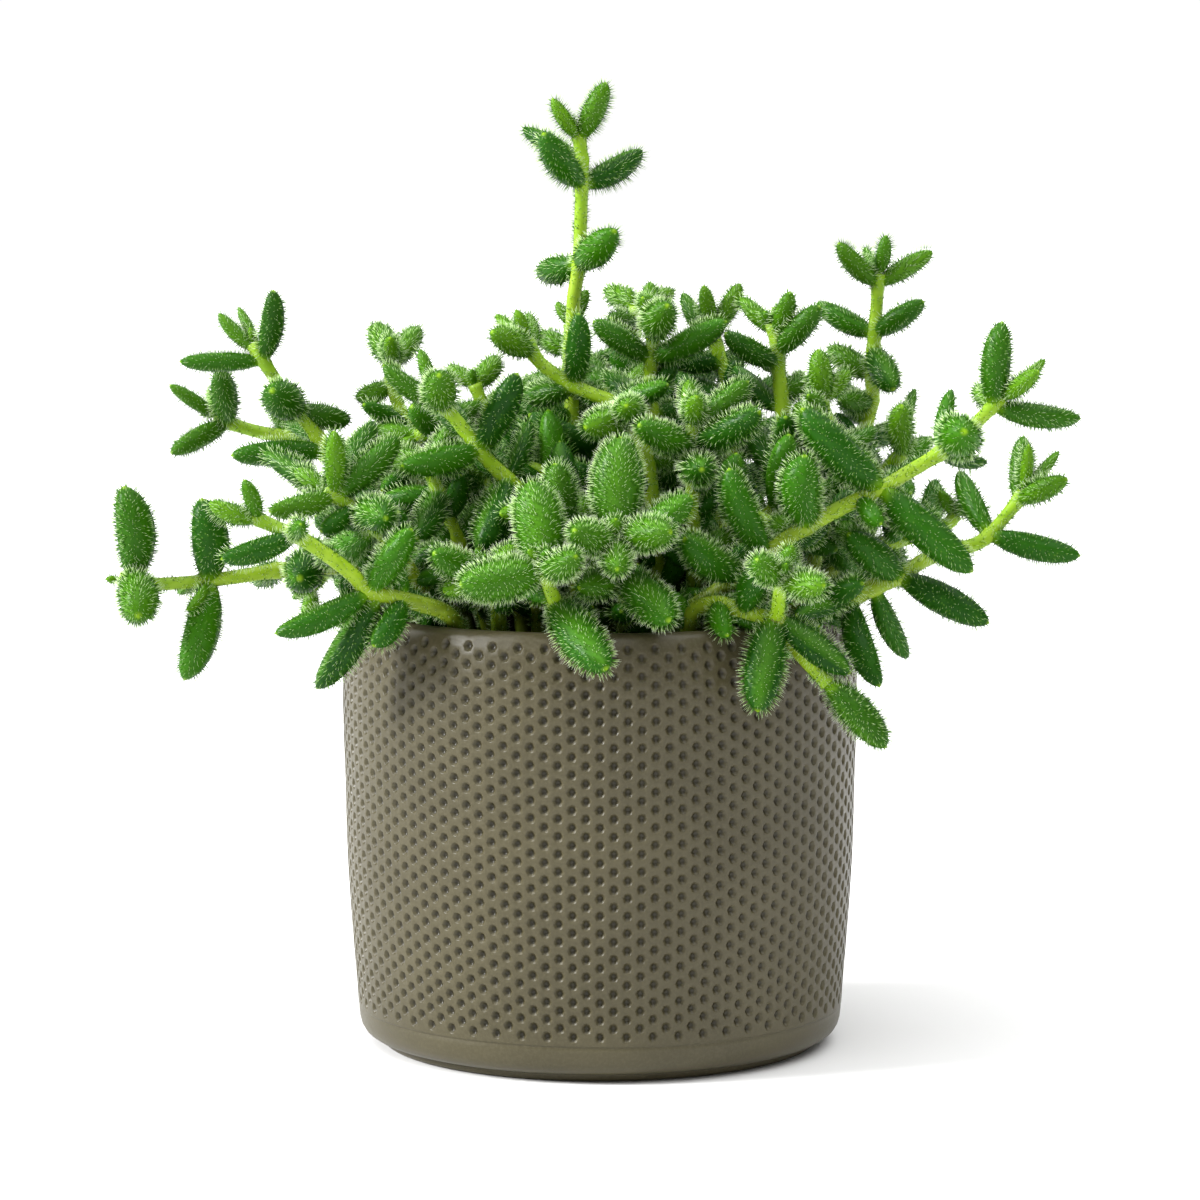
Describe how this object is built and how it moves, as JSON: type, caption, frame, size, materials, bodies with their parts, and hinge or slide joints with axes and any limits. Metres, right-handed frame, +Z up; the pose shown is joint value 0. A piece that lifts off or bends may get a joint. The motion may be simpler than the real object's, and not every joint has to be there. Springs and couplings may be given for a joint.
{
  "type": "potted succulent plant",
  "caption": "Bushy succulent with plump bristly leaves on trailing and upright stems, in a round matte pot with staggered dimples.",
  "frame": {"origin": "centre of the pot's underside, on the surface that the pot stands on", "axes": "+Z up, -Y towards the viewer of the picture, +X to the right of the picture"},
  "size_m": [0.1954, 0.1598, 0.1953],
  "materials": {
    "pot_clay": "matte",
    "potting_soil": "matte",
    "plump_leaf": "satin"
  },
  "bodies": {
    "root": {"pot": "pot_clay", "soil": "potting_soil", "back_centre_right_stem": "plump_leaf", "back_centre_stem": "plump_leaf", "back_left_inner_stem": "plump_leaf", "back_left_stem": "plump_leaf", "back_middle_stem": "plump_leaf", "ball_stem": "plump_leaf", "centre_right_tall_stem": "plump_leaf", "centre_rosette_stem": "plump_leaf", "far_left_stem": "plump_leaf", "front_centre_rosette_stem": "plump_leaf", "front_left_inner_stem": "plump_leaf", "front_left_low_stem": "plump_leaf", "front_left_rosette_stem": "plump_leaf", "front_right_stem": "plump_leaf", "hidden_stem_01": "plump_leaf", "hidden_stem_02": "plump_leaf", "hidden_stem_03": "plump_leaf", "hidden_stem_04": "plump_leaf", "hidden_stem_05": "plump_leaf", "hidden_stem_06": "plump_leaf", "hidden_stem_07": "plump_leaf", "hidden_stem_08": "plump_leaf", "hidden_stem_09": "plump_leaf", "hidden_stem_10": "plump_leaf", "hidden_stem_11": "plump_leaf", "hidden_stem_12": "plump_leaf", "hidden_stem_13": "plump_leaf", "hidden_stem_14": "plump_leaf", "hidden_stem_15": "plump_leaf", "left_diagonal_stem": "plump_leaf", "left_front_stem": "plump_leaf", "left_inner_stem": "plump_leaf", "left_rear_stem": "plump_leaf", "left_tall_stem": "plump_leaf", "left_upper_stem": "plump_leaf", "right_back_low_stem": "plump_leaf", "right_big_stem": "plump_leaf", "right_inner_stem": "plump_leaf", "right_low_stem": "plump_leaf", "right_middle_stem": "plump_leaf", "right_upper_stem": "plump_leaf", "tall_centre_stem": "plump_leaf", "tall_right_stem": "plump_leaf", "upper_diagonal_stem": "plump_leaf"}
  },
  "joints": []
}
